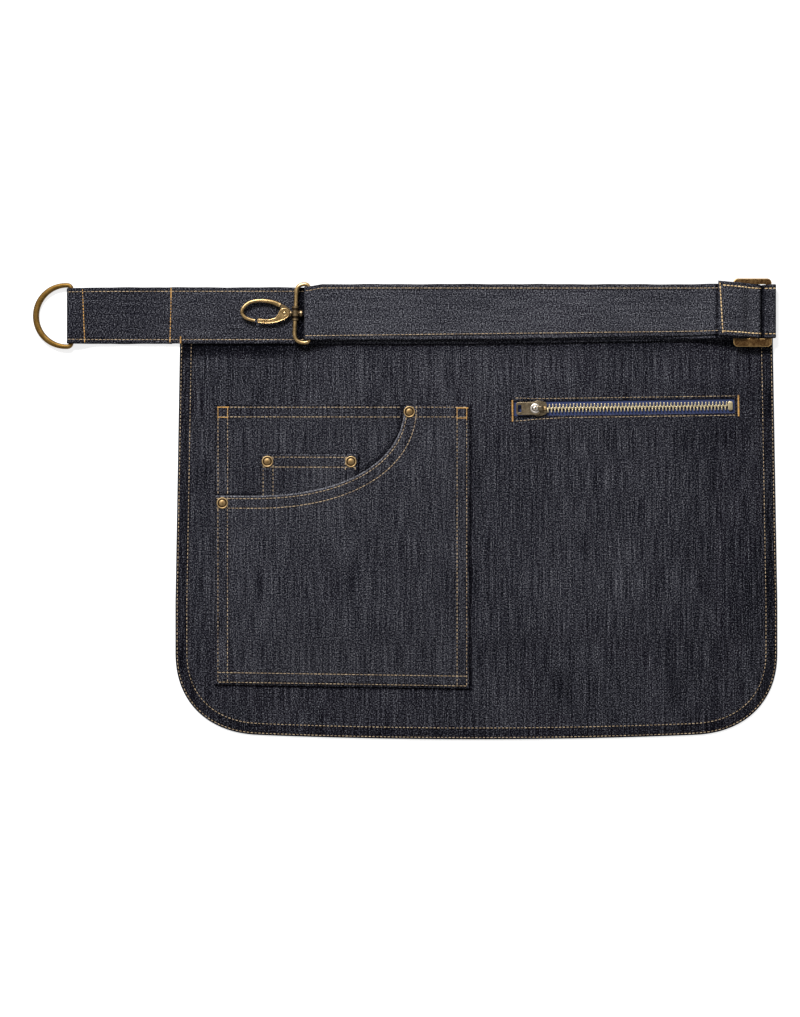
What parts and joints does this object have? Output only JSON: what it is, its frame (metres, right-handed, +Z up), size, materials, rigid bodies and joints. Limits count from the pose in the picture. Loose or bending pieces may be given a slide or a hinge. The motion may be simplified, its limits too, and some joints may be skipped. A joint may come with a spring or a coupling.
{
  "type": "waist apron",
  "caption": "Flat denim waist apron with curved and straight patch pockets, a zip pocket, and a waistband with D ring, strap slider and swivel clasp.",
  "frame": {"origin": "centre of the apron's box in plan, on the surface that it lies on", "axes": "+X along the waistband towards the strap slider, +Y up the apron towards the waistband, +Z up from the surface"},
  "size_m": [0.596, 0.3686, 0.0138],
  "materials": {
    "denim": "raw dark denim, warp streaks down the panel",
    "strap_denim": "raw dark denim, warp along the strap",
    "pocket_cloth": "plain dark twill",
    "zip_tape": "navy woven tape",
    "antique_brass": "antique, brushed and darkened",
    "light_brass": "antique, worn bright on its edges",
    "rivet_brass": "antique copper brass",
    "zip_brass": "worn golden brass"
  },
  "bodies": {
    "apron": {"body_panel": "denim", "waistband": "strap_denim", "waistband_tail": "strap_denim", "adjuster_strap": "strap_denim", "slider_buckle": "antique_brass", "inner_pocket": "denim", "coin_pocket": "denim", "outer_pocket": "denim", "rivet_1": "rivet_brass", "rivet_2": "rivet_brass", "rivet_3": "rivet_brass", "rivet_4": "rivet_brass", "zip_tape": "zip_tape", "zip_chain": "zip_brass", "zip_slider": "zip_brass", "zip_stop": "zip_brass", "zip_pocket_bag": "pocket_cloth"},
    "ring": {"d_ring": "antique_brass"},
    "loop": {"clasp_loop": "light_brass"},
    "hook": {"clasp_hook": "light_brass"},
    "gate": {"clasp_gate": "light_brass"},
    "pull": {"zip_pull": "antique_brass"}
  },
  "joints": [
    {"name": "d_ring_hinge", "type": "hinge", "parent": "apron", "child": "ring", "pos_m": [-0.26705, 0.1546, 0.00355], "axis": [0, 1, 0], "range_deg": [0, 150]},
    {"name": "clasp_loop_hinge", "type": "hinge", "parent": "apron", "child": "loop", "pos_m": [-0.0772, 0.15636, 0.0071], "axis": [0, 1, 0], "range_deg": [0, 110]},
    {"name": "clasp_swivel", "type": "hinge", "parent": "loop", "child": "hook", "pos_m": [-0.0877, 0.15636, 0.0071], "axis": [1, 0, 0], "range_deg": [-10, 10]},
    {"name": "clasp_gate_hinge", "type": "hinge", "parent": "hook", "child": "gate", "pos_m": [-0.0963, 0.15662, 0.0071], "axis": [0, 0, -1], "range_deg": [0, 20], "stiffness_Nm_per_rad": 0.02},
    {"name": "zip_pull_hinge", "type": "hinge", "parent": "apron", "child": "pull", "pos_m": [0.10701, 0.08063, 0.00605], "axis": [-0.014, 0.9999, 0], "range_deg": [0, 170]}
  ]
}
